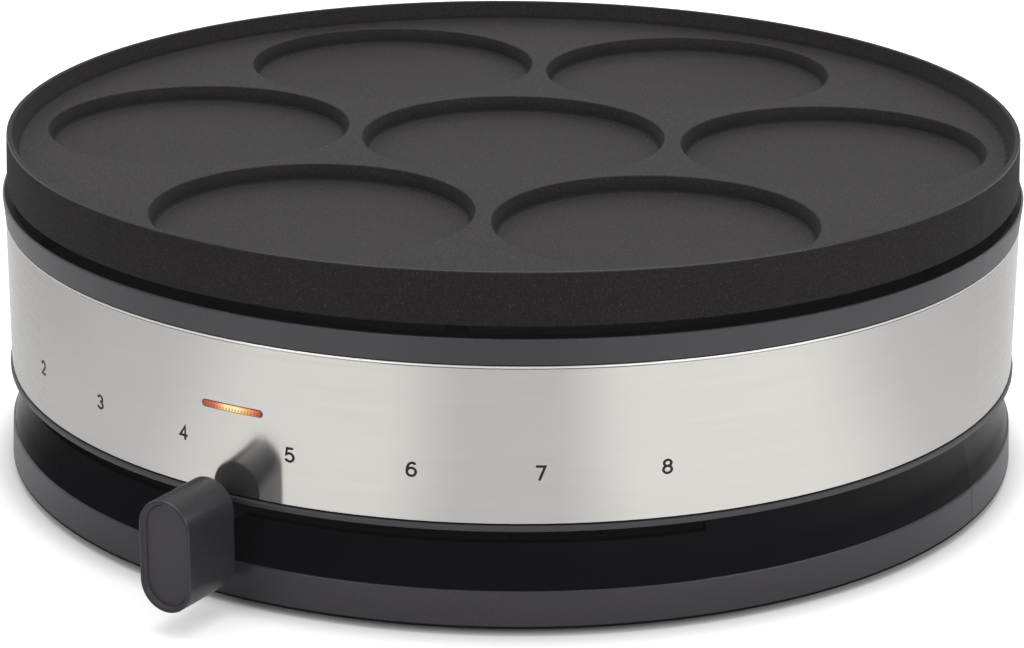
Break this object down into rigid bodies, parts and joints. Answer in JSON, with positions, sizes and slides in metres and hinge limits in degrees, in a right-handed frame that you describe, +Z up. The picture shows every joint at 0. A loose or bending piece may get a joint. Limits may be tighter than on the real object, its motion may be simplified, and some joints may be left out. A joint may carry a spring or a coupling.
{
  "type": "electric crepe maker",
  "caption": "Round countertop electric crepe maker: cast plate with round pockets over a steel-banded body, with a swinging thermostat lever.",
  "frame": {"origin": "on the table under the body's axis", "axes": "+Z up, -Y to the front, through the middle of the thermostat scale, +X to the cook's right"},
  "size_m": [0.375, 0.4088, 0.1245],
  "materials": {
    "nonstick_coating": "matt non-stick coating, fine mottle, on a cast aluminium plate",
    "collar_plastic": "satin heat-resistant moulding",
    "shell_plastic": "satin dark grey moulding",
    "base_plastic": "satin dark grey moulding",
    "neck_plastic": "near-black moulding",
    "knob_plastic": "satin dark grey moulding",
    "brushed_band": "stainless sheet, brushed along its length",
    "amber_lens": "clear amber moulding with fine ribs",
    "lamp_glass": "neon lamp's glass",
    "pan_steel": "heat-darkened steel",
    "dark_steel": "blackened steel",
    "heater_sheath": "oxidised heater sheath",
    "zinc_steel": "bright zinc-plated steel",
    "cover_plastic": "black ribbed-vent moulding",
    "foot_rubber": "black rubber",
    "thermostat_case": "heat-resistant moulding",
    "terminal_plastic": "natural moulding",
    "lead_insulation": "heat-resistant sleeving"
  },
  "bodies": {
    "housing": {"collar_ring": "collar_plastic", "reflector_pan": "pan_steel", "plate_rests": "dark_steel", "pan_screws": "dark_steel", "heating_tube_outer": "heater_sheath", "heating_tube_inner": "heater_sheath", "tube_saddles": "dark_steel", "tube_terminals": "zinc_steel", "housing_shell": "shell_plastic", "steel_band": "brushed_band", "indicator_lens": "amber_lens", "lamp_holder": "shell_plastic", "indicator_lamp": "lamp_glass", "neck_ring": "neck_plastic", "housing_screws": "zinc_steel", "base_ring_front": "base_plastic", "base_ring_rear": "base_plastic", "ring_screws": "zinc_steel", "bottom_cover": "cover_plastic", "cover_screws": "zinc_steel", "foot_ring": "foot_rubber", "thermostat_body": "thermostat_case", "sensor_stem": "zinc_steel", "thermostat_bracket": "zinc_steel", "bracket_screws": "zinc_steel", "cord_gland": "neck_plastic", "gland_nut": "neck_plastic", "terminal_block": "terminal_plastic", "terminal_screws": "zinc_steel", "thermal_fuse": "zinc_steel", "fuse_clip": "zinc_steel", "earth_lug": "zinc_steel", "internal_leads": "lead_insulation"},
    "lever": {"thermostat_shaft": "zinc_steel", "lever_arm": "dark_steel", "lever_screw": "zinc_steel", "lever_knob": "knob_plastic", "knob_face": "knob_plastic"},
    "plate": {"griddle_plate": "nonstick_coating"}
  },
  "joints": [
    {"name": "lever_swing", "type": "hinge", "parent": "housing", "child": "lever", "pos_m": [0, 0, 0.0336], "axis": [0, 0, 1], "range_deg": [-43.7, 46.3]},
    {"name": "plate_lift", "type": "slide", "parent": "housing", "child": "plate", "axis": [0, 0, 1], "range_m": [0, 0.06]}
  ]
}
